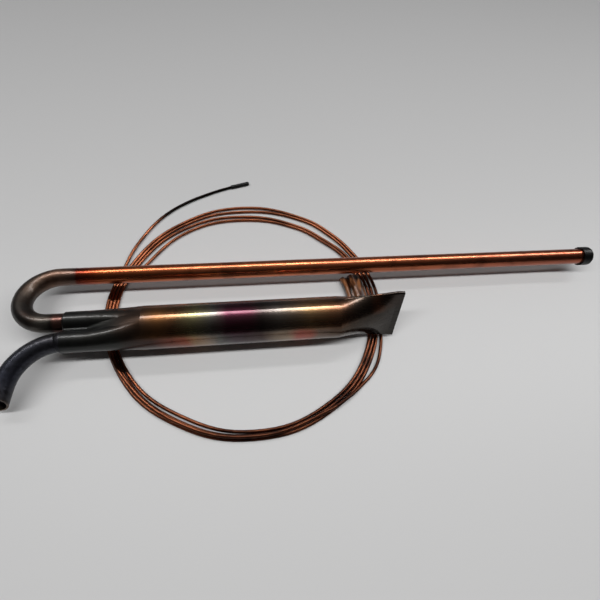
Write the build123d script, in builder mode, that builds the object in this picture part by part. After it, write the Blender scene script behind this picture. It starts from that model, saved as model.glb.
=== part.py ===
"""Copper suction accumulator with a capillary tube coil, in millimetres, +Z up, lying on the floor at z = 0."""

import os
from math import asin, cos, degrees, radians, sin, sqrt

from build123d import *

# Tube stock
tube_od = 9.52
tube_wall = 0.8
capillary_od = 1.8
body_od = 22.2
body_wall = 1.0
seat_gap = 0.05

# Layout in plan: the suction tube's axis runs along X, the coil lies under it and the body
coil_x = -49.15
coil_y = -14.65
body_y = -33.0
bend_x = -148.6
mouth_x = -139.4
lip_beyond = 10.75
suction_end_x = 167.3
inner_end_y = 12.5

# Coil: flat loose half turns that meet on one slanting line, close at the near side and spread at the far side
coil_inner_r = 69.9
coil_turn = -15.0
strand_gap = 0.05
far_shares = (0.0, 1.3, 3.2, 5.9)
near_shares = (0.0, 1.02, 2.04, 3.06)
free_radius_shares = (1.127, 1.76, 1.418, 1.304)
free_turns = (82.9, 21.6, 22.1, 21.0)

# Accumulator body: pinched lip at one end, twin sockets at the other
lip_length = 29.2
lip_thick = 2.2
lip_depth = 3.0
lip_tilt = 20.5
lip_rake = 5.5
pinch_run = 31.0
pinch_cavity_share = 0.5
pinch_wall = 1.8
socket_pitch = 11.0
socket_wall = 0.65
socket_depth = 11.0
socket_run = 27.0
socket_stop = 0.6
crease_r = 1.2
cavity_crease_r = 3.0

# Suction tube and elbow
insert_depth = 9.0
u_bend_r = 15.6
u_bend_flat = 0.3626
suction_drop = 3.2
elbow_bend_r = 24.5
elbow_turn = 81.0
elbow_leg = 7.5
elbow_tilt = 12.5
elbow_cut = 22.0

# Caps
suction_cap_od = 11.6
suction_cap_length = 7.0
suction_cap_end = 1.6
suction_cap_round = 2.2
tip_cap_od = 2.7
tip_cap_length = 13.0
tip_cap_end = 1.0
tip_cap_round = 0.9

# Tape tie: a loose ring round the innermost turn, with a taller loop beside it
tape_thick = 0.2
tape_gap = 0.05
tape_span = 12.5
tape_start = 2.0
ring_width = 6.0
loop_width = 6.2
loop_height = 3.6

# Sizes that follow from these
tube_r = tube_od / 2
bore_r = tube_r - tube_wall
body_r = body_od / 2
socket_bore_r = tube_r + seat_gap
socket_r = socket_bore_r + socket_wall
capillary_r = capillary_od / 2
coil_pitch = capillary_od + strand_gap
coil_z = tip_cap_od / 2
coil_top = coil_z + capillary_r + seat_gap
lean, rake = radians(lip_tilt), radians(lip_rake)
body_z = coil_top + lip_length / 2 * cos(lean) + lip_thick / 2 * sin(lean)
suction_z = body_z - suction_drop
far_y = body_y + socket_pitch / 2
near_y = body_y - socket_pitch / 2
suction_y = far_y + sqrt((2 * u_bend_r + u_bend_flat) ** 2 - suction_drop**2)
lip_x = coil_x + coil_inner_r + lip_beyond
pinch_start = lip_x - lip_depth - pinch_run
lobe_start = mouth_x + socket_depth
barrel_start = lobe_start + socket_run


def upright(x, tilt=0.0, slope=0.0):
    """A plane across the body's axis at x, its own X up and its own Y towards the near side."""
    up = Vector(0, sin(tilt), cos(tilt))
    out = Vector(1, 0, 0) * cos(slope) - up * sin(slope)
    return Plane(origin=(x, body_y, body_z), x_dir=Vector(1, 0, 0) * sin(slope) + up * cos(slope), z_dir=out)


def twin_lobes(lobe_r, crease):
    """Outline of two round lobes side by side with a rounded crease above and below between them."""
    half = socket_pitch / 2
    hollow = sqrt((lobe_r + crease) ** 2 - half**2)
    touch = half * crease / (lobe_r + crease)
    rise = hollow * lobe_r / (lobe_r + crease)
    ThreePointArc((rise, -touch), (hollow - crease, 0), (rise, touch))
    ThreePointArc((rise, touch), (0, half + lobe_r), (-rise, touch))
    ThreePointArc((-rise, touch), (crease - hollow, 0), (-rise, -touch))
    ThreePointArc((-rise, -touch), (0, -half - lobe_r), (rise, -touch))


# Accumulator body
with BuildPart() as accumulator_body:
    with BuildSketch(upright(barrel_start)):
        Circle(body_r)
    extrude(amount=pinch_start - barrel_start)
    with BuildSketch(upright(pinch_start, lean)):
        Circle(body_r)
    with BuildSketch(upright(pinch_start + pinch_run, lean, rake)):
        SlotOverall(lip_length, lip_thick)
    loft()
    with BuildSketch(upright(pinch_start + pinch_run, lean, rake)):
        SlotOverall(lip_length, lip_thick)
    extrude(amount=lip_depth)
    with BuildSketch(upright(lobe_start)):
        with BuildLine():
            twin_lobes(socket_r, crease_r)
        make_face()
    with BuildSketch(upright(barrel_start)):
        Circle(body_r)
    loft()
    with BuildSketch(upright(mouth_x)):
        with BuildLine():
            twin_lobes(socket_r, crease_r)
        make_face()
    extrude(amount=socket_depth)
    # The hollow inside, and the two socket bores
    with BuildSketch(upright(barrel_start)):
        Circle(body_r - body_wall)
    extrude(amount=pinch_start - barrel_start, mode=Mode.SUBTRACT)
    with BuildSketch(upright(pinch_start, lean)):
        Circle(body_r - body_wall)
    cavity_rise = body_r + (lip_length / 2 - body_r) * pinch_cavity_share - pinch_wall
    cavity_side = body_r + (lip_thick / 2 - body_r) * pinch_cavity_share - pinch_wall
    with BuildSketch(upright(pinch_start + pinch_run * pinch_cavity_share, lean)):
        Ellipse(cavity_rise, cavity_side)
    loft(mode=Mode.SUBTRACT)
    with BuildSketch(upright(lobe_start)):
        with BuildLine():
            twin_lobes(socket_bore_r - socket_stop, cavity_crease_r)
        make_face()
    with BuildSketch(upright(barrel_start)):
        Circle(body_r - body_wall)
    loft(mode=Mode.SUBTRACT)
    with BuildSketch(upright(mouth_x)):
        with Locations((0, -socket_pitch / 2), (0, socket_pitch / 2)):
            Circle(socket_bore_r)
    extrude(amount=socket_depth, mode=Mode.SUBTRACT)

# Suction tube: one straight leg, a U-bend in a sloping plane, a short leg into the far socket
bend_across = Vector(0, far_y - suction_y, body_z - suction_z)
bend_side = bend_across.normalized() * u_bend_r
round_off = sqrt(1 / 2)
upper_start = Vector(bend_x, suction_y, suction_z)
lower_end = upper_start + bend_across
reach = Vector(-u_bend_r, 0, 0)
with BuildPart() as suction_tube:
    with BuildLine() as suction_path:
        Line((suction_end_x, suction_y, suction_z), upper_start)
        ThreePointArc(
            upper_start,
            upper_start + reach * round_off + bend_side * (1 - round_off),
            upper_start + reach + bend_side,
        )
        Line(upper_start + reach + bend_side, lower_end + reach - bend_side)
        ThreePointArc(
            lower_end + reach - bend_side,
            lower_end + reach * round_off - bend_side * (1 - round_off),
            lower_end,
        )
        Line(lower_end, (mouth_x + insert_depth, far_y, body_z))
    with BuildSketch(Plane(origin=(suction_end_x, suction_y, suction_z), z_dir=(-1, 0, 0))):
        Circle(tube_r)
        Circle(bore_r, mode=Mode.SUBTRACT)
    sweep(path=suction_path.wires()[0])

# Inlet elbow: a wide bend that dips from the near socket to an open end cut on the slant
dip, turned = radians(elbow_tilt), radians(elbow_turn)
elbow_plane = Plane(
    origin=(mouth_x, near_y, body_z), x_dir=(1, 0, 0), z_dir=(0, -sin(dip), cos(dip))
)
slant = radians(elbow_cut - elbow_tilt)
bend_end = Vector(-sin(turned), cos(turned) - 1) * elbow_bend_r
leg_end = bend_end - Vector(cos(turned), sin(turned)) * (elbow_leg + tube_od)
with BuildPart() as inlet_elbow:
    with BuildLine(elbow_plane) as elbow_path:
        Line((insert_depth, 0), (0, 0))
        elbow_bend = JernArc((0, 0), (-1, 0), elbow_bend_r, elbow_turn)
        cut_spot = elbow_bend @ 1 + (elbow_bend % 1) * elbow_leg
        Line((bend_end.X, bend_end.Y), (leg_end.X, leg_end.Y))
    with BuildSketch(Plane(origin=(mouth_x + insert_depth, near_y, body_z), z_dir=(-1, 0, 0))):
        Circle(tube_r)
        Circle(bore_r, mode=Mode.SUBTRACT)
    sweep(path=elbow_path.wires()[0])
    split(
        bisect_by=Plane(origin=cut_spot, z_dir=(0, -cos(slant), sin(slant))), keep=Keep.BOTTOM
    )

# Capillary: nested half turns whose ends all lie on one line across the coil, then the free end
coil_centre = Vector(coil_x, coil_y)
across = Vector(0, 1).rotate(Axis.Z, coil_turn)
with BuildPart() as capillary:
    with BuildLine(Plane.XY.offset(coil_z)) as coil_path:
        near = coil_inner_r + coil_pitch * (near_shares[0] - 1)
        for far_share, near_share in zip(far_shares, near_shares):
            far = coil_inner_r + coil_pitch * far_share
            centre, radius = coil_centre + across * (far - near) / 2, (far + near) / 2
            if far_share == far_shares[0]:
                # The hidden inner end stops just behind the suction tube
                rise = degrees(asin((inner_end_y - centre.Y) / radius))
                CenterArc((centre.X, centre.Y), radius, 180 - rise, rise + coil_turn - 90)
            else:
                CenterArc((centre.X, centre.Y), radius, 270 + coil_turn, -180)
            near = coil_inner_r + coil_pitch * near_share
            centre, radius = coil_centre + across * (far - near) / 2, (far + near) / 2
            CenterArc((centre.X, centre.Y), radius, 90 + coil_turn, -180)
        end, heading = coil_centre - across * near, across.rotate(Axis.Z, 90)
        for share, turn in zip(free_radius_shares, free_turns):
            free_arc = JernArc(
                (end.X, end.Y), (heading.X, heading.Y), coil_inner_r * share, -turn
            )
            end, heading = free_arc @ 1, free_arc % 1
        tip_heading = heading
        tip = end + tip_heading * tip_cap_length
        Line((end.X, end.Y), (tip.X, tip.Y))
    with BuildSketch(Plane(origin=tip, z_dir=-tip_heading)):
        Circle(capillary_r)
    sweep(path=coil_path.wires()[0])

# Push-on cap on the suction tube
with BuildPart() as suction_cap:
    cap_start = suction_end_x + suction_cap_end - suction_cap_length
    with BuildSketch(Plane(origin=(cap_start, suction_y, suction_z), z_dir=(1, 0, 0))):
        Circle(suction_cap_od / 2)
    extrude(amount=suction_cap_length)
    fillet(suction_cap.edges().sort_by(Axis.X)[-1], radius=suction_cap_round)
    with BuildSketch(Plane(origin=(cap_start, suction_y, suction_z), z_dir=(1, 0, 0))):
        Circle(tube_r + seat_gap)
    extrude(amount=suction_cap_length - suction_cap_end + seat_gap, mode=Mode.SUBTRACT)

# Sleeve on the capillary's tip
with BuildPart() as capillary_cap:
    tip_end = tip + tip_heading * tip_cap_end
    with BuildSketch(Plane(origin=tip_end, z_dir=-tip_heading)):
        Circle(tip_cap_od / 2)
    extrude(amount=tip_cap_length)
    fillet(capillary_cap.edges().group_by(Axis.X)[-1], radius=tip_cap_round)
    with BuildSketch(Plane(origin=tip + tip_heading * seat_gap, z_dir=-tip_heading)):
        Circle(capillary_r + seat_gap)
    extrude(amount=tip_cap_length, mode=Mode.SUBTRACT)

# Tape tie: the ring and its loop, side by side, turned about the innermost turn's own centre
near_first = coil_inner_r + coil_pitch * near_shares[0]
tied_r = (coil_inner_r + near_first) / 2
tied_centre = coil_centre + across * (coil_inner_r - near_first) / 2
ring_height = capillary_od + 2 * tape_gap
ring_spot = tied_r + capillary_r + tape_gap - ring_width / 2
loop_spot = ring_spot - (ring_width + loop_width) / 2 - tape_thick
loop_rise = (loop_height - ring_height) / 2
with BuildPart() as coil_tie:
    tie_plane = Plane(origin=(tied_centre.X, tied_centre.Y, coil_z), x_dir=(1, 0, 0), z_dir=(0, -1, 0))
    with BuildSketch(tie_plane.rotated((0, 0, tape_start))):
        with Locations((ring_spot, 0)):
            SlotOverall(ring_width + 2 * tape_thick, ring_height + 2 * tape_thick)
        with Locations((loop_spot, loop_rise)):
            SlotOverall(loop_width + 2 * tape_thick, loop_height + 2 * tape_thick)
        with Locations((ring_spot, 0)):
            SlotOverall(ring_width, ring_height, mode=Mode.SUBTRACT)
        with Locations((loop_spot, loop_rise)):
            SlotOverall(loop_width, loop_height, mode=Mode.SUBTRACT)
    revolve(axis=Axis((tied_centre.X, tied_centre.Y, 0), (0, 0, 1)), revolution_arc=tape_span)

os.makedirs("parts", exist_ok=True)
for label, piece in (
    ("accumulator_body", accumulator_body),
    ("suction_tube", suction_tube),
    ("inlet_elbow", inlet_elbow),
    ("capillary", capillary),
    ("suction_cap", suction_cap),
    ("capillary_cap", capillary_cap),
    ("coil_tie", coil_tie),
):
    piece.part.label = label
    export_step(piece.part, f"parts/{label}.step")
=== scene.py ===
"""Dresses the copper suction accumulator, its tubes and its capillary coil, and sets up the studio and the camera."""

import logging
from dataclasses import dataclass
from enum import Enum
from math import cos, pi, radians, sin

import bmesh
import bpy
from mathutils import Matrix, Vector


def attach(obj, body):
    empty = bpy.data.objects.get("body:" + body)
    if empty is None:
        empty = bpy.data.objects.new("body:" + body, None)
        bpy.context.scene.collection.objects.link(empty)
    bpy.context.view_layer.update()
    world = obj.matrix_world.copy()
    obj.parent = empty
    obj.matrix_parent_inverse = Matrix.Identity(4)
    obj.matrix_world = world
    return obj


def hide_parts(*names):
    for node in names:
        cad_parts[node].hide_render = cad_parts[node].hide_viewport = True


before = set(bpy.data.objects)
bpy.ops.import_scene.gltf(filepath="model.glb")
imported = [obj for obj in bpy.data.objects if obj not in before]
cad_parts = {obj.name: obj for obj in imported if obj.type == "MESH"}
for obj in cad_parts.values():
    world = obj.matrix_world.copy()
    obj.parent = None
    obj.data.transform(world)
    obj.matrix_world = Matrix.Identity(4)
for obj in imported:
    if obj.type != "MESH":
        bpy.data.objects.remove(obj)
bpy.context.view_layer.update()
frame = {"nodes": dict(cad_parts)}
LOG = logging.getLogger("scene")
MM = 0.001
MERGE = 0.001 * MM
Socket = bpy.types.NodeSocket
Stops = tuple[tuple[float, str], ...]


def srgb(hex_code: str) -> tuple[float, float, float, float]:
    """Turns a hex sRGB colour into linear RGBA.

    Args:
        hex_code: Six hex digits.

    Returns:
        Linear red, green and blue, and an alpha of one.
    """
    parts = [int(hex_code[i : i + 2], 16) / 255 for i in (0, 2, 4)]
    linear = [p / 12.92 if p <= 0.04045 else ((p + 0.055) / 1.055) ** 2.4 for p in parts]
    return (linear[0], linear[1], linear[2], 1.0)


class Slot(Enum):
    """The record's material slots."""

    BODY = "heat_tinted_copper"
    TUBE = "copper"
    ELBOW = "blackened_copper"
    CAPILLARY = "capillary_copper"
    PLASTIC = "black_plastic"
    TAPE = "brown_tape"


class Along(Enum):
    """The object axis along which a tint changes."""

    X = "X"
    Y = "Y"
    Z = "Z"


class NodeSheet:
    """A node tree that starts empty, with one helper that adds a node."""

    def __init__(self, tree: bpy.types.NodeTree) -> None:
        """Takes over a tree and clears it."""
        self.tree = tree
        tree.nodes.clear()

    def add(
        self, kind: str, settings: dict | None = None, links: dict | None = None, out: int | str = 0
    ) -> Socket | None:
        """Adds a node with its settings and its inputs.

        Args:
            kind: Node type, without Blender's ShaderNode prefix.
            settings: Attributes of the node; "stops" holds a colour ramp's places and hex colours.
            links: Inputs by name or number, each a value or another node's output.
            out: Name or number of the output to hand back.

        Returns:
            The chosen output, or None for a node that has none.
        """
        node = self.tree.nodes.new("ShaderNode" + kind)
        for key, value in (settings or {}).items():
            if key == "stops":
                elements = node.color_ramp.elements
                while len(elements) < len(value):
                    elements.new(0.5)
                for element, (place, code) in zip(elements, value):
                    element.position, element.color = place, srgb(code)
            else:
                setattr(node, key, value)
        for key, value in (links or {}).items():
            if isinstance(value, Socket):
                self.tree.links.new(value, node.inputs[key])
            else:
                node.inputs[key].default_value = value
        return node.outputs[out] if node.outputs else None


# Noise values between which a pattern fades in
DRIFT_SPAN = (0.25, 0.75)
STREAK_SPAN = (0.45, 0.72)
STAIN_SPAN = (0.48, 0.72)
WEAR_SPAN = (0.3, 0.72)
AGE_SPAN = (0.34, 0.66)
AGE_GLOSS_SPAN = (0.3, 0.7)
SCUFF_SPAN = (0.55, 0.8)
SCUFF_GLOSS_SPAN = (0.3, 0.8)
FOLD_SPAN = (0.38, 0.62)


def per_metre(size_mm: float) -> float:
    """Noise scale per metre for features of a size in millimetres."""
    return 1000.0 / size_mm


def shares(stops: Stops) -> Stops:
    """Turns places in millimetres into shares of their span, as a colour ramp wants them."""
    low, high = stops[0][0], stops[-1][0]
    return tuple(((place - low) / (high - low), code) for place, code in stops)


@dataclass(frozen=True)
class OxidisedCopper:
    """Drawn copper tube with a brazing torch's oxide film on it.

    The film tints the metal in bands along the tube, and its glassy surface gives a pale thin reflection over the
    metal's own broader, coloured one.

    Attributes:
        slot: Material slot, which is also the material's name.
        stops: Places along the axis in millimetres with the tint's hex colour there.
        axis: Axis along which the tint changes.
        other_stops: A second set of places and tints, for the far side of the divide.
        divide_axis: Axis on which the two sets part.
        divide_mm: Where the second set starts and where it is alone, along that axis.
        wander_mm: How far the bands wander.
        drift_mm: Over what distance they wander.
        blotch_mm: Size of the stains.
        stain: Hex colour of the stains.
        stain_share: Most that the stains cover.
        streak_mm: Length and width of the drawing streaks.
        streak_share: Most that the streaks darken.
        gloss: Lowest and highest roughness of the metal.
        matt_mm: Where along X the soot starts and where it is full.
        matt: Roughness of the soot.
        film: Weight of the film's reflection.
        film_gloss: Roughness of the film.
        dent_mm: Depth of the surface's unevenness.
        dent_size_mm: Size of the unevenness.
    """

    slot: Slot
    stops: Stops
    axis: Along = Along.X
    other_stops: Stops = ()
    divide_axis: Along = Along.Z
    divide_mm: tuple[float, float] = (0.0, 1.0)
    wander_mm: float = 2.5
    drift_mm: float = 14.0
    blotch_mm: float = 7.0
    stain: str = "17120f"
    stain_share: float = 0.6
    streak_mm: tuple[float, float] = (30.0, 1.2)
    streak_share: float = 0.3
    gloss: tuple[float, float] = (0.16, 0.28)
    matt_mm: tuple[float, ...] = ()
    matt: float = 0.5
    film: float = 0.6
    film_gloss: float = 0.08
    dent_mm: float = 0.02
    dent_size_mm: float = 5.0

    def tint(self, sheet: NodeSheet, place: Socket, wander: Socket, stops: Stops) -> Socket:
        """Lays one set of bands along the axis.

        Args:
            sheet: The node tree.
            place: The coordinate along the axis, in metres.
            wander: How far the bands are moved there, in metres.
            stops: Places in millimetres and hex colours.

        Returns:
            The bands' colour.
        """
        moved = sheet.add("Math", {"operation": "ADD"}, {0: place, 1: wander})
        factor = sheet.add("MapRange", None, {0: moved, 1: stops[0][0] * MM, 2: stops[-1][0] * MM})
        return sheet.add("ValToRGB", {"stops": shares(stops)}, {"Fac": factor})

    def build(self) -> bpy.types.Material:
        """Builds the material.

        Returns:
            The finished material, named after its slot.
        """
        material = bpy.data.materials.new(self.slot.value)
        material.use_nodes = True
        sheet = NodeSheet(material.node_tree)
        spot = sheet.add("TexCoord", out="Object")
        split = sheet.add("SeparateXYZ", None, {0: spot}).node.outputs
        drift = sheet.add("TexNoise", None, {"Vector": spot, "Scale": per_metre(self.drift_mm), "Detail": 2.0})
        far = self.wander_mm * MM
        wander = sheet.add("MapRange", None, {0: drift, 1: DRIFT_SPAN[0], 2: DRIFT_SPAN[1], 3: -far, 4: far})
        colour = self.tint(sheet, split[self.axis.value], wander, self.stops)
        # The second set colours the divide's far side; on the body it is partly a painted floor reflection
        if self.other_stops:
            other = self.tint(sheet, split[self.axis.value], wander, self.other_stops)
            start, alone = (limit * MM for limit in self.divide_mm)
            side = sheet.add("MapRange", None, {0: split[self.divide_axis.value], 1: start, 2: alone})
            colour = sheet.add("Mix", {"data_type": "RGBA"}, {0: side, 6: colour, 7: other}, 2)
        # Drawing streaks run along the tube and stains lie on it in patches
        length, width = self.streak_mm
        drawn = sheet.add("Mapping", None, {"Vector": spot, "Scale": (width / length, 1.0, 1.0)})
        streaks = sheet.add("TexNoise", None, {"Vector": drawn, "Scale": per_metre(width), "Detail": 3.0})
        dark = sheet.add("MapRange", None, {0: streaks, 1: STREAK_SPAN[0], 2: STREAK_SPAN[1], 4: self.streak_share})
        colour = sheet.add("Mix", {"data_type": "RGBA"}, {0: dark, 6: colour, 7: srgb(self.stain)}, 2)
        patches = sheet.add("TexNoise", None, {"Vector": spot, "Scale": per_metre(self.blotch_mm), "Detail": 5.0})
        stained = sheet.add("MapRange", {"interpolation_type": "SMOOTHSTEP"}, {
            0: patches, 1: STAIN_SPAN[0], 2: STAIN_SPAN[1], 4: self.stain_share,
        })
        colour = sheet.add("Mix", {"data_type": "RGBA"}, {0: stained, 6: colour, 7: srgb(self.stain)}, 2)
        rough = sheet.add("MapRange", None, {
            0: streaks, 1: WEAR_SPAN[0], 2: WEAR_SPAN[1], 3: self.gloss[0], 4: self.gloss[1],
        })
        if self.matt_mm:
            start, full = (limit * MM for limit in self.matt_mm)
            soot = sheet.add("MapRange", None, {0: split["X"], 1: start, 2: full})
            rough = sheet.add("Mix", {"data_type": "FLOAT"}, {0: soot, 2: rough, 3: self.matt})
        dents = sheet.add("TexNoise", None, {"Vector": spot, "Scale": per_metre(self.dent_size_mm), "Detail": 2.0})
        relief = sheet.add("Bump", None, {"Strength": 1.0, "Distance": self.dent_mm * MM, "Height": dents})
        shader = sheet.add("BsdfPrincipled", None, {
            "Base Color": colour, "Roughness": rough, "Normal": relief, "Metallic": 1.0,
            "Coat Weight": self.film, "Coat Roughness": self.film_gloss,
        })
        sheet.add("OutputMaterial", None, {"Surface": shader})
        return material


@dataclass(frozen=True)
class CapillaryCopper:
    """Thin drawn copper tube: warm brown where it has aged, and black on the free end that the torch reached.

    Attributes:
        bright: Hex colour of the clean stretches and of the lighter far side.
        aged: Hex colour of the aged stretches and of the darker near side.
        burnt: Hex colour of the free end.
        centre_mm: The coil's centre in plan.
        burnt_mm: Distances from the centre where the black starts and where it is full.
        patch_mm: Length of the clean and aged stretches.
        near_mm: Places along Y between which the turns go from lighter to darker.
        near_share: How much lighter and darker the turns are there.
        gloss: Lowest and highest roughness.
    """

    bright: str = "8a5238"
    aged: str = "3a221a"
    burnt: str = "15100e"
    centre_mm: tuple[float, float] = (-49.15, -14.65)
    burnt_mm: tuple[float, float] = (86.0, 92.0)
    patch_mm: float = 22.0
    near_mm: tuple[float, float] = (60.0, -70.0)
    near_share: tuple[float, float] = (-0.35, 0.3)
    gloss: tuple[float, float] = (0.34, 0.5)

    def build(self) -> bpy.types.Material:
        """Builds the material.

        Returns:
            The finished material, named after its slot.
        """
        material = bpy.data.materials.new(Slot.CAPILLARY.value)
        material.use_nodes = True
        sheet = NodeSheet(material.node_tree)
        spot = sheet.add("TexCoord", out="Object")
        patches = sheet.add("TexNoise", None, {"Vector": spot, "Scale": per_metre(self.patch_mm), "Detail": 4.0})
        # Turns grow darker towards the near side and lighter towards the far side, on top of the aged patches
        clean, brown = (limit * MM for limit in self.near_mm)
        across = sheet.add("SeparateXYZ", None, {0: spot}, "Y")
        side = sheet.add("MapRange", None, {
            0: across, 1: clean, 2: brown, 3: self.near_share[0], 4: self.near_share[1],
        })
        share = sheet.add("MapRange", None, {0: patches, 1: AGE_SPAN[0], 2: AGE_SPAN[1]})
        share = sheet.add("Math", {"operation": "ADD", "use_clamp": True}, {0: share, 1: side})
        colour = sheet.add("Mix", {"data_type": "RGBA"}, {0: share, 6: srgb(self.bright), 7: srgb(self.aged)}, 2)
        centre = (self.centre_mm[0] * MM, self.centre_mm[1] * MM, 0.0)
        reach = sheet.add("VectorMath", {"operation": "DISTANCE"}, {0: spot, 1: centre}, "Value")
        start, full = (limit * MM for limit in self.burnt_mm)
        black = sheet.add("MapRange", {"interpolation_type": "SMOOTHSTEP"}, {0: reach, 1: start, 2: full})
        colour = sheet.add("Mix", {"data_type": "RGBA"}, {0: black, 6: colour, 7: srgb(self.burnt)}, 2)
        rough = sheet.add("MapRange", None, {
            0: patches, 1: AGE_GLOSS_SPAN[0], 2: AGE_GLOSS_SPAN[1], 3: self.gloss[0], 4: self.gloss[1],
        })
        shader = sheet.add("BsdfPrincipled", None, {"Base Color": colour, "Roughness": rough, "Metallic": 1.0})
        sheet.add("OutputMaterial", None, {"Surface": shader})
        return material


@dataclass(frozen=True)
class MouldedPlastic:
    """Moulded black polyethylene: a soft gloss with fine scuffs.

    Attributes:
        colour: Hex colour of the plastic.
        scuff: Hex colour of its scuffs.
        scuff_mm: Size of the scuffs.
        scuff_share: Most that the scuffs cover.
        gloss: Lowest and highest roughness.
        specular: Strength of its reflection.
    """

    colour: str = "040404"
    scuff: str = "121110"
    scuff_mm: float = 0.8
    scuff_share: float = 0.5
    gloss: tuple[float, float] = (0.3, 0.5)
    specular: float = 0.25

    def build(self) -> bpy.types.Material:
        """Builds the material.

        Returns:
            The finished material, named after its slot.
        """
        material = bpy.data.materials.new(Slot.PLASTIC.value)
        material.use_nodes = True
        sheet = NodeSheet(material.node_tree)
        spot = sheet.add("TexCoord", out="Object")
        marks = sheet.add("TexNoise", None, {"Vector": spot, "Scale": per_metre(self.scuff_mm), "Detail": 5.0})
        worn = sheet.add("MapRange", None, {0: marks, 1: SCUFF_SPAN[0], 2: SCUFF_SPAN[1], 4: self.scuff_share})
        colour = sheet.add("Mix", {"data_type": "RGBA"}, {0: worn, 6: srgb(self.colour), 7: srgb(self.scuff)}, 2)
        rough = sheet.add("MapRange", None, {
            0: marks, 1: SCUFF_GLOSS_SPAN[0], 2: SCUFF_GLOSS_SPAN[1], 3: self.gloss[0], 4: self.gloss[1],
        })
        shader = sheet.add("BsdfPrincipled", None, {
            "Base Color": colour, "Roughness": rough, "Specular IOR Level": self.specular,
        })
        sheet.add("OutputMaterial", None, {"Surface": shader})
        return material


@dataclass(frozen=True)
class PackingTape:
    """Brown polypropylene packing tape: glossy film, with painted light on its raised crests and painted shade in its
    folds and creases.

    Attributes:
        light: Hex colour of the tape where painted light falls on its crests.
        dark: Hex colour of the painted shade in the folds.
        crest_mm: Heights of the folds' valleys and crests.
        fold_mm: Spacing of the fine creases.
        crease_mm: Depth of the fine creases.
        crease_stretch: How the creases are drawn out along each axis.
        crest_light_share: How much painted light makes the crests paler than the valleys.
        crease_shade_share: How far painted shade and highlight in the creases darken and lighten the tape.
        gloss: Roughness of the tape.
        film_gloss: Roughness of its glossy face.
    """

    light: str = "9a6540"
    dark: str = "1e0e08"
    crest_mm: tuple[float, float] = (2.0, 4.4)
    fold_mm: float = 2.2
    crease_mm: float = 0.3
    crease_stretch: tuple[float, float, float] = (1.0, 0.3, 1.0)
    crest_light_share: float = 0.75
    crease_shade_share: float = 0.5
    gloss: float = 0.3
    film_gloss: float = 0.12

    def build(self) -> bpy.types.Material:
        """Builds the material.

        Returns:
            The finished material, named after its slot.
        """
        material = bpy.data.materials.new(Slot.TAPE.value)
        material.use_nodes = True
        sheet = NodeSheet(material.node_tree)
        spot = sheet.add("TexCoord", out="Object")
        creased = sheet.add("Mapping", None, {"Vector": spot, "Scale": self.crease_stretch})
        folds = sheet.add("TexNoise", None, {"Vector": creased, "Scale": per_metre(self.fold_mm), "Detail": 3.0})
        # Painted light and shade: the higher crests are painted paler, and the creases' noise darkens and lightens
        # the tape
        height = sheet.add("SeparateXYZ", None, {0: spot}, "Z")
        low, high = (limit * MM for limit in self.crest_mm)
        lit_crests = sheet.add("MapRange", None, {0: height, 1: low, 2: high, 4: self.crest_light_share})
        crease_shading = sheet.add("MapRange", None, {
            0: folds, 1: FOLD_SPAN[0], 2: FOLD_SPAN[1], 3: -self.crease_shade_share, 4: self.crease_shade_share,
        })
        share = sheet.add("Math", {"operation": "ADD", "use_clamp": True}, {0: lit_crests, 1: crease_shading})
        colour = sheet.add("Mix", {"data_type": "RGBA"}, {0: share, 6: srgb(self.dark), 7: srgb(self.light)}, 2)
        relief = sheet.add("Bump", None, {"Strength": 1.0, "Distance": self.crease_mm * MM, "Height": folds})
        shader = sheet.add("BsdfPrincipled", None, {
            "Base Color": colour, "Roughness": self.gloss, "Normal": relief,
            "Coat Weight": 1.0, "Coat Roughness": self.film_gloss,
        })
        sheet.add("OutputMaterial", None, {"Surface": shader})
        return material


BODY_FINISH = OxidisedCopper(
    slot=Slot.BODY,
    # Upper side: soot at the sockets, then amber, olive, wine red, brown black and gold
    stops=(
        (-146.0, "282727"), (-116.0, "302e2c"), (-104.0, "44362e"), (-94.0, "7a5230"), (-85.0, "765236"),
        (-77.0, "847c58"), (-67.0, "6c6862"), (-59.0, "542838"), (-49.0, "4e2632"), (-42.0, "403634"),
        (-35.0, "645c56"), (-26.0, "786450"), (-18.0, "947450"), (-8.0, "80583c"), (0.0, "624636"),
        (8.0, "4c4038"), (15.0, "44382f"), (19.0, "6a4430"), (23.0, "463a33"), (32.0, "3a3634"),
    ),
    # Lower side, below the height where the floor's reflection begins: the heat tints again, retuned paler in places
    # as a painted floor reflection, with two red patches beside two pale ones
    other_stops=(
        (-146.0, "2e2f30"), (-114.0, "383936"), (-96.0, "48342f"), (-88.0, "78483c"), (-81.0, "8c4c38"),
        (-76.0, "9c7c5c"), (-69.0, "8c7c6c"), (-63.0, "646460"), (-56.0, "4e4248"), (-42.0, "4c3e3c"),
        (-35.0, "807060"), (-29.0, "94806c"), (-25.0, "a45c50"), (-19.0, "985848"), (-15.0, "746054"),
        (-5.0, "584638"), (8.0, "3e352d"), (32.0, "3c3a38"),
    ),
    # The divide lies at the height where the floor's reflection starts on the body, so the second set carries painted
    # reflection
    divide_mm=(23.5, 20.5),
    stain_share=0.25,
    streak_share=0.2,
    gloss=(0.24, 0.3),
    matt_mm=(-84.0, -112.0),
    matt=0.42,
    dent_mm=0.012,
    film=0.3,
    film_gloss=0.14,
)
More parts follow.
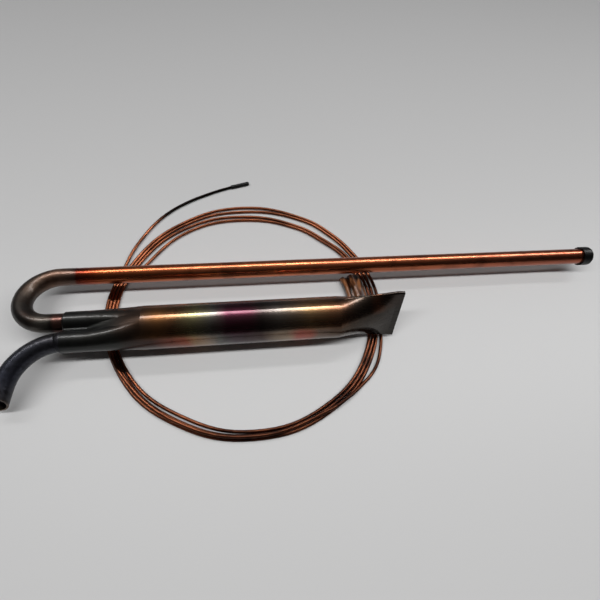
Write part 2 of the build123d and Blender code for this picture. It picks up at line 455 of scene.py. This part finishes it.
TUBE_FINISH = OxidisedCopper(
    slot=Slot.TUBE,
    # Straight leg: grey black from the bend to a sharp edge, then deep red, then clean copper
    stops=(
        (-172.0, "383430"), (-160.0, "4c423a"), (-152.0, "7a5f50"), (-141.6, "6e584e"), (-140.2, "6a2414"),
        (-134.0, "9c4020"), (-126.0, "b86034"), (-60.0, "c47048"), (0.0, "be6a44"), (60.0, "b46442"),
        (110.0, "b06246"), (168.0, "a4563a"),
    ),
    # Short leg by the socket: soot, a pale patch, then a clean pink ring at the joint
    other_stops=(
        (-172.0, "363330"), (-156.0, "363330"), (-152.0, "5a5650"), (-147.0, "5a5650"), (-145.5, "3c3632"),
        (-144.0, "6a4a42"), (-140.0, "70504a"), (-138.0, "3c3632"),
    ),
    divide_axis=Along.Y,
    divide_mm=(-5.0, -21.0),
    wander_mm=0.9,
    stain="341a10",
    blotch_mm=11.0,
    stain_share=0.5,
    streak_share=0.4,
    gloss=(0.22, 0.34),
    matt_mm=(-138.0, -150.0),
    matt=0.42,
    dent_mm=0.008,
    film=0.25,
    film_gloss=0.2,
)
ELBOW_FINISH = OxidisedCopper(
    slot=Slot.ELBOW,
    # Tan rim at the open end, then a mottled blue black
    stops=(
        (-74.0, "7a6a58"), (-66.5, "6f6052"), (-65.0, "363538"),
        (-55.0, "343640"), (-44.0, "3a3b42"), (-33.0, "3a3736"),
    ),
    axis=Along.Y,
    wander_mm=0.6,
    blotch_mm=3.0,
    stain="0e0d0e",
    streak_mm=(2.0, 1.2),
    gloss=(0.36, 0.55),
    film=0.2,
    film_gloss=0.25,
    dent_mm=0.12,
    dent_size_mm=1.8,
)


@dataclass
class Part:
    """What the sub-assemblies share: the CAD nodes and the two ways of giving a piece its finish."""

    nodes: dict[str, bpy.types.Object]

    def dress(self, node: str, material: bpy.types.Material) -> None:
        """Puts a material on a CAD node.

        Args:
            node: Name of the node.
            material: Its finish.
        """
        slots = self.nodes[node].data.materials
        slots.clear()
        slots.append(material)
        LOG.info("dressed %s in %s", node, material.name)

    def add_piece(
        self, name: str, shape: bmesh.types.BMesh, material: bpy.types.Material, slot: Slot
    ) -> bpy.types.Object:
        """Makes an object of a bmesh, smooth, and lets it ride on the body.

        Args:
            name: The piece's name.
            shape: Its mesh, in metres, which is freed.
            material: Its finish.
            slot: The record's slot that the finish belongs to; not used.

        Returns:
            The new object.
        """
        mesh = bpy.data.meshes.new(name)
        for face in shape.faces:
            face.smooth = True
        shape.to_mesh(mesh)
        shape.free()
        mesh.materials.append(material)
        piece = bpy.data.objects.new(name, mesh)
        bpy.context.scene.collection.objects.link(piece)
        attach(piece, "root")
        LOG.info("built %s with %d faces", name, len(mesh.polygons))
        return piece


@dataclass
class Accumulator(Part):
    """The heat-tinted body with the braze fillets in its two socket mouths.

    Attributes:
        mouth_mm: Where the sockets' face lies along X.
        socket_y_mm: The sockets' axes, far one first.
        axis_z_mm: Height of the axes.
        tube_r_mm: Radius of the tubes in the sockets.
        socket_r_mm: Outer radius of the sockets.
        fillet_mm: How far the braze reaches along each tube.
        fillet_profile: The hollow face from the socket to the tube, as shares of its reach and its height.
        bite_mm: How deep the braze goes into the tube's wall, so that no gap shows.
        overlap_mm: How far it goes past the socket's face.
        steps: Steps round a fillet.
    """

    mouth_mm: float = -139.4
    socket_y_mm: tuple[float, float] = (-27.5, -38.5)
    axis_z_mm: float = 16.36
    tube_r_mm: float = 4.76
    socket_r_mm: float = 5.45
    fillet_mm: tuple[float, float] = (1.0, 3.0)
    fillet_profile: tuple[tuple[float, float], ...] = ((0.2, 0.9), (0.6, 0.4), (1.0, 0.0))
    bite_mm: float = 0.1
    overlap_mm: float = 0.05
    steps: int = 48

    def fillet(self, centre: Vector, reach: float) -> bmesh.types.BMesh:
        """Spins a hollow-faced triangle round a tube's axis.

        Args:
            centre: Middle of the socket's mouth, in metres.
            reach: How far the braze runs along the tube, in metres.

        Returns:
            The closed ring.
        """
        inner, outer = (self.tube_r_mm - self.bite_mm) * MM, self.socket_r_mm * MM
        back = self.overlap_mm * MM
        face = [(-along * reach, inner + rise * (outer - inner)) for along, rise in self.fillet_profile]
        outline = ((back, inner), (back, outer), *face)
        shape = bmesh.new()
        corners = [shape.verts.new(centre + Vector((x, 0.0, r))) for x, r in outline]
        edges = [shape.edges.new((corners[i], corners[i - 1])) for i in range(len(corners))]
        bmesh.ops.spin(
            shape, geom=corners + edges, cent=centre, axis=(1, 0, 0), angle=2 * pi, steps=self.steps,
            use_merge=True,
        )
        bmesh.ops.remove_doubles(shape, verts=shape.verts, dist=MERGE)
        bmesh.ops.recalc_face_normals(shape, faces=shape.faces)
        return shape

    def build(self) -> None:
        """Dresses the body."""
        self.dress("accumulator_body", BODY_FINISH.build())

    def build_fillets(self, material: bpy.types.Material) -> None:
        """Adds a braze fillet at each socket mouth.

        Args:
            material: The sooty finish that the braze shares with the elbow.
        """
        for name, y, reach in zip(("braze_suction", "braze_inlet"), self.socket_y_mm, self.fillet_mm):
            centre = Vector((self.mouth_mm, y, self.axis_z_mm)) * MM
            self.add_piece(name, self.fillet(centre, reach * MM), material, Slot.ELBOW)


@dataclass
class Tubes(Part):
    """The suction tube and the inlet elbow, with the plastic caps on the open ends."""

    def build(self) -> bpy.types.Material:
        """Dresses the tubes and the caps.

        Returns:
            The elbow's material, which the braze shares.
        """
        self.dress("suction_tube", TUBE_FINISH.build())
        elbow = ELBOW_FINISH.build()
        self.dress("inlet_elbow", elbow)
        plastic = MouldedPlastic().build()
        self.dress("suction_cap", plastic)
        self.dress("capillary_cap", plastic)
        return elbow


@dataclass
class Coil(Part):
    """The capillary's loose turns and free end, and the crumpled tape that ties them.

    Attributes:
        centre_mm: The coil's centre in plan.
        tube_mm: Diameter of the capillary.
        level_mm: Height of the capillary's axis where it lies flat.
        turns: The turns from the hidden inner end outwards, each as angles in degrees, distances from the centre in
            millimetres and, where a turn climbs over its neighbours, heights above the level.
        free_end: The same for the free end, up to the tip.
        smoothness: Curve steps between two points.
        round_steps: Steps round the capillary, as the curve counts them.
        tape_angles: Where the tape starts and ends round the coil, in degrees.
        tape_inner_mm: Distance of the tape's inner edge from the centre.
        tape_profile: The tape's round, as distances from its inner edge and heights, in millimetres.
        tape_cuts: Extra points between two of the profile's, which round it.
        tape_steps: Steps along the tape.
        tape_mm: Thickness of the tape.
    """

    centre_mm: tuple[float, float] = (-49.15, -14.65)
    tube_mm: float = 1.8
    level_mm: float = 1.35
    turns: tuple[tuple[tuple[float, ...], ...], ...] = (
        (
            (157, 68.8), (150, 68.8), (120, 70.4), (90, 69.8), (60, 70.2), (45, 69.8), (30, 71.2), (15, 70.2),
            (0, 69.9), (-30, 71.0), (-60, 71.0), (-90, 70.9), (-120, 69.9), (-150, 72.0), (-180, 72.8),
        ),
        (
            (150, 72.8), (120, 73.8), (90, 73.0), (60, 72.1), (45, 71.7), (30, 73.2), (15, 72.7), (0, 72.3),
            (-30, 72.9), (-60, 72.9), (-90, 72.8), (-120, 72.5), (-150, 73.9), (-180, 74.7),
        ),
        (
            (150, 74.7), (120, 76.8), (90, 77.6), (60, 78.5), (45, 77.4), (30, 76.2), (15, 75.2), (0, 74.4),
            (-30, 74.8), (-60, 74.8), (-90, 74.6), (-120, 74.4), (-150, 75.8), (-180, 76.6),
        ),
        (
            (150, 76.6), (120, 79.0), (90, 81.4), (60, 80.5), (45, 79.4), (30, 78.4), (15, 78.0), (0, 77.3),
            (-15, 76.9), (-25, 78.2), (-31, 78.7), (-36, 78.3), (-42, 76.9, 0.2), (-50, 75.7, 1.5), (-60, 74.2, 1.7),
            (-90, 73.7, 1.6), (-120, 73.5, 1.6), (-150, 74.9, 1.6), (-165, 75.9, 1.75), (-180, 77.4, 1.5),
        ),
    )
    free_end: tuple[tuple[float, ...], ...] = (
        (165, 78.5, 0.2), (155, 79.2), (147, 82.0), (137, 85.8), (130, 89.0), (122, 92.4), (113.6, 95.2), (105, 98.0),
        (94.7, 102.4), (91.2, 104.0), (87.8, 106.0),
    )
    smoothness: int = 8
    round_steps: int = 3
    tape_angles: tuple[float, float] = (2.0, 16.5)
    tape_inner_mm: float = 58.4
    tape_profile: tuple[tuple[float, float], ...] = (
        (0.0, 1.2), (0.3, 3.2), (1.5, 4.4), (2.9, 3.6), (3.8, 2.0), (4.9, 2.3), (5.8, 4.0), (7.2, 4.6), (8.4, 3.4),
        (9.6, 2.9), (11.2, 2.9), (12.5, 2.2), (12.9, 1.3), (12.4, 0.4), (8.0, 0.3), (3.0, 0.3), (0.6, 0.4),
    )
    tape_cuts: int = 2
    tape_steps: int = 18
    tape_mm: float = 0.18

    def spot(self, angle: float, distance: float, height: float = 0.0) -> Vector:
        """Finds a point round the coil's centre.

        Args:
            angle: Its angle in degrees.
            distance: Its distance from the centre in millimetres.
            height: Its height above the coil's level in millimetres.

        Returns:
            The point, in metres.
        """
        turn = radians(angle)
        x, y = self.centre_mm
        return Vector((x + distance * cos(turn), y + distance * sin(turn), self.level_mm + height)) * MM

    def capillary(self) -> bpy.types.Mesh:
        """Draws the capillary as one smooth round curve through its points and makes a mesh of it.

        Returns:
            The mesh, in metres.
        """
        points = [self.spot(*place) for turn in (*self.turns, self.free_end) for place in turn]
        line = bpy.data.curves.new("capillary_line", "CURVE")
        line.dimensions = "3D"
        line.bevel_depth = self.tube_mm / 2 * MM
        line.bevel_resolution = self.round_steps
        line.resolution_u = self.smoothness
        line.use_fill_caps = True
        spline = line.splines.new("BEZIER")
        spline.bezier_points.add(len(points) - 1)
        for knot, point in zip(spline.bezier_points, points):
            knot.co = point
            knot.handle_left_type = knot.handle_right_type = "AUTO"
        holder = bpy.data.objects.new("capillary_line", line)
        bpy.context.scene.collection.objects.link(holder)
        mesh = bpy.data.meshes.new_from_object(holder.evaluated_get(bpy.context.evaluated_depsgraph_get()))
        bpy.data.objects.remove(holder)
        return mesh

    def tape(self) -> bmesh.types.BMesh:
        """Spins the tape's wavy round along the coil, and gives it a wall.

        Returns:
            The tape's shape, in metres.
        """
        shape = bmesh.new()
        first, last = (radians(angle) for angle in self.tape_angles)
        centre = Vector((*self.centre_mm, 0.0)) * MM
        out = Vector((cos(first), sin(first), 0.0))
        corners = [
            shape.verts.new(centre + out * (self.tape_inner_mm + across) * MM + Vector((0, 0, height * MM)))
            for across, height in self.tape_profile
        ]
        edges = [shape.edges.new((corners[i - 1], corners[i])) for i in range(len(corners))]
        bmesh.ops.subdivide_edges(shape, edges=edges, cuts=self.tape_cuts, smooth=1.0)
        bmesh.ops.spin(
            shape, geom=shape.verts[:] + shape.edges[:], cent=centre, axis=(0, 0, 1), angle=last - first,
            steps=self.tape_steps,
        )
        bmesh.ops.recalc_face_normals(shape, faces=shape.faces)
        bmesh.ops.solidify(shape, geom=shape.faces[:], thickness=self.tape_mm * MM)
        return shape

    def build(self) -> None:
        """Lays the capillary and the tape."""
        shape = bmesh.new()
        shape.from_mesh(self.capillary())
        bmesh.ops.remove_doubles(shape, verts=shape.verts, dist=MERGE)
        bmesh.ops.recalc_face_normals(shape, faces=shape.faces)
        tube = self.add_piece("loose_capillary", shape, CapillaryCopper().build(), Slot.CAPILLARY)
        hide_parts("capillary")
        tape = self.add_piece("tape", self.tape(), PackingTape().build(), Slot.TAPE)
        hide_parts("coil_tie")


@dataclass(frozen=True)
class StripLight:
    """A white strip light whose long side runs along X, facing the floor's X axis.

    Attributes:
        name: Name of the light.
        place: Where it hangs, in metres.
        size: Length and width in metres.
        power: Power in watts.
    """

    name: str
    place: tuple[float, float, float]
    size: tuple[float, float]
    power: float

    def hang(self) -> bpy.types.Object:
        """Adds the light to the scene.

        Returns:
            The light's object.
        """
        lamp = bpy.data.lights.new(self.name, "AREA")
        lamp.shape = "RECTANGLE"
        lamp.size, lamp.size_y = self.size
        lamp.energy = self.power
        holder = bpy.data.objects.new(self.name, lamp)
        place = Vector(self.place)
        back = (place - Vector((place.x, 0.0, 0.0))).normalized()
        up = back.cross(Vector((1, 0, 0))).normalized()
        side = up.cross(back)
        holder.matrix_world = Matrix.Translation(place) @ Matrix((side, up, back)).transposed().to_4x4()
        bpy.context.scene.collection.objects.link(holder)
        return holder


CEILING_STRIP = StripLight("ceiling_strip", place=(0.3, -0.27, 1.2), size=(3.0, 0.12), power=20.5)
GLOSS_STRIP = StripLight("gloss_strip", place=(0.6, 0.46, 1.2), size=(3.6, 0.12), power=34.0)


@dataclass
class Studio:
    """Floor, lights, world and camera.

    Attributes:
        eye_mm: The camera's place.
        yaw: Turn of the view from +Y towards +X, in degrees.
        pitch: Dip of the view below the horizon, in degrees.
        roll: Turn of the image about the view, in degrees.
        focal_px: Focal length in pixels.
        image_px: Width of the image in pixels.
        sensor_mm: Width of the sensor.
        clip_m: Nearest and farthest distance that the camera sees.
        floor_m: Side of the floor.
        floor_tones: Hex colours between which the floor clouds.
        floor_gloss: Roughness of the floor.
        cloud_mm: Size of the clouds.
        ceiling: Heights in the room, as shares, with the hex colour of its light there.
        wall: Hex colour of the far wall's light.
        wall_span: Directions along Y between which the wall's light fades in.
    """

    eye_mm: tuple[float, float, float] = (-50.056, -145.548, 203.008)
    yaw: float = 13.08
    pitch: float = 55.60
    roll: float = -7.94
    focal_px: float = 415.0
    image_px: float = 600.0
    sensor_mm: float = 36.0
    clip_m: tuple[float, float] = (0.01, 50.0)
    floor_m: float = 8.0
    floor_tones: tuple[str, str] = ("cdcdcd", "d3d3d3")
    floor_gloss: float = 0.5
    cloud_mm: float = 700.0
    ceiling: Stops = ((0.0, "282625"), (0.6, "2e2c2b"), (0.85, "464442"), (1.0, "6a6866"))
    wall: str = "44464a"
    wall_span: tuple[float, float] = (-0.2, 0.8)

    def build(self) -> None:
        """Builds the whole studio."""
        self.floor()
        self.lights()
        self.world()
        self.camera()
        bpy.context.scene.view_settings.view_transform = "Standard"

    def floor(self) -> None:
        """A plain pale floor with a faint cloudiness."""
        material = bpy.data.materials.new("pale_floor")
        material.use_nodes = True
        sheet = NodeSheet(material.node_tree)
        spot = sheet.add("TexCoord", out="Object")
        cloud = sheet.add("TexNoise", None, {"Vector": spot, "Scale": per_metre(self.cloud_mm), "Detail": 2.0})
        dull, pale = (srgb(tone) for tone in self.floor_tones)
        colour = sheet.add("Mix", {"data_type": "RGBA"}, {0: cloud, 6: dull, 7: pale}, 2)
        shader = sheet.add("BsdfPrincipled", None, {"Base Color": colour, "Roughness": self.floor_gloss})
        sheet.add("OutputMaterial", None, {"Surface": shader})
        shape = bmesh.new()
        bmesh.ops.create_grid(shape, x_segments=1, y_segments=1, size=self.floor_m / 2)
        mesh = bpy.data.meshes.new("floor")
        shape.to_mesh(mesh)
        shape.free()
        mesh.materials.append(material)
        ground = bpy.data.objects.new("floor", mesh)
        bpy.context.scene.collection.objects.link(ground)

    def lights(self) -> None:
        """A long ceiling strip that lights the floor, and a second one behind it that the metal shows."""
        CEILING_STRIP.hang().visible_glossy = False
        GLOSS_STRIP.hang().visible_diffuse = False

    def world(self) -> None:
        """A dim room: paler overhead, with a grey far wall and a dark near side."""
        world = bpy.data.worlds.new("studio")
        bpy.context.scene.world = world
        world.use_nodes = True
        sheet = NodeSheet(world.node_tree)
        split = sheet.add("SeparateXYZ", None, {0: sheet.add("TexCoord", out="Generated")}).node.outputs
        ceiling = sheet.add("ValToRGB", {"stops": self.ceiling}, {"Fac": split["Z"]})
        far = sheet.add("MapRange", None, {0: split["Y"], 1: self.wall_span[0], 2: self.wall_span[1]})
        wall = sheet.add("ValToRGB", {"stops": ((0.0, "000000"), (1.0, self.wall))}, {"Fac": far})
        glow = sheet.add("Mix", {"data_type": "RGBA", "blend_type": "ADD"}, {0: 1.0, 6: ceiling, 7: wall}, 2)
        background = sheet.add("Background", None, {"Color": glow, "Strength": 1.0})
        sheet.add("OutputWorld", None, {"Surface": background})

    def camera(self) -> None:
        """A camera at the photograph's place, angle and lens."""
        yaw, pitch, roll = (radians(angle) for angle in (self.yaw, self.pitch, self.roll))
        forward = Vector((sin(yaw) * cos(pitch), cos(yaw) * cos(pitch), -sin(pitch)))
        level = Vector((cos(yaw), -sin(yaw), 0.0))
        down = forward.cross(level)
        right = level * cos(roll) + down * sin(roll)
        below = down * cos(roll) - level * sin(roll)
        data = bpy.data.cameras.new("camera")
        data.sensor_width = self.sensor_mm
        data.lens = self.focal_px / self.image_px * self.sensor_mm
        data.clip_start, data.clip_end = self.clip_m
        holder = bpy.data.objects.new("camera", data)
        turn = Matrix((right, -below, -forward)).transposed().to_4x4()
        holder.matrix_world = Matrix.Translation(Vector(self.eye_mm) * MM) @ turn
        bpy.context.scene.collection.objects.link(holder)
        bpy.context.scene.camera = holder


def main() -> None:
    """Builds the sub-assemblies in order."""
    logging.basicConfig(level=logging.INFO)
    nodes = frame["nodes"]
    body = Accumulator(nodes)
    body.build()
    body.build_fillets(Tubes(nodes).build())
    Coil(nodes).build()
    Studio().build()


if __name__ == "__main__":
    main()
